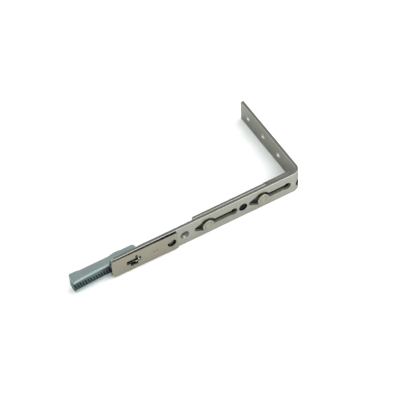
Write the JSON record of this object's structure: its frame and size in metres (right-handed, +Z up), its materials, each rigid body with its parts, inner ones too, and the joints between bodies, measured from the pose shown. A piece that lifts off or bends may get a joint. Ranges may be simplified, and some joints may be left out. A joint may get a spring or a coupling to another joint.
{
  "type": "window corner locking bar",
  "caption": "L-shaped faceplate bar for a window sash corner, with a sliding drive rod, roller cams and an open toothed coupling channel.",
  "frame": {"origin": "centre of the overall box from above, on the narrow edge that the bar lies on", "axes": "+X along the long leg toward the bend, +Y along the short leg away from the bend, +Z up, across the strip's width"},
  "size_m": [0.1564, 0.0706, 0.016],
  "materials": {
    "stainless": "satin stainless strip with long grain",
    "cover_steel": "satin stainless strip with a warmer tone",
    "cast_zinc": "dull grey die-cast zinc",
    "zinc_plate": "blue-green passivated zinc plate",
    "rod_steel": "plain oiled steel",
    "cam_steel": "turned steel, slightly warm",
    "black_plastic": "black moulded plastic"
  },
  "bodies": {
    "faceplate_assembly": {"faceplate": "stainless", "cover_plate": "cover_steel", "rear_guide": "stainless", "end_guide": "cast_zinc", "guide_rivet": "cam_steel", "guide_washer": "rod_steel", "guide_plug": "black_plastic"},
    "drive": {"drive_rod": "rod_steel", "toothed_coupling": "zinc_plate", "coupling_rivet_1": "rod_steel", "coupling_rivet_2": "rod_steel", "cam_pin_left": "cam_steel", "cam_pin_right": "cam_steel"},
    "roller_left": {"cam_roller_left": "cam_steel"},
    "roller_right": {"cam_roller_right": "cam_steel"}
  },
  "joints": [
    {"name": "drive_slide", "type": "slide", "parent": "faceplate_assembly", "child": "drive", "axis": [1, 0, 0], "range_m": [-0.007, 0.017]},
    {"name": "roller_left_spin", "type": "hinge", "parent": "drive", "child": "roller_left", "pos_m": [0.01175, -0.03485, 0.008], "axis": [0, 1, 0], "continuous": true},
    {"name": "roller_right_spin", "type": "hinge", "parent": "drive", "child": "roller_right", "pos_m": [0.05005, -0.03485, 0.008], "axis": [0, 1, 0], "continuous": true}
  ]
}
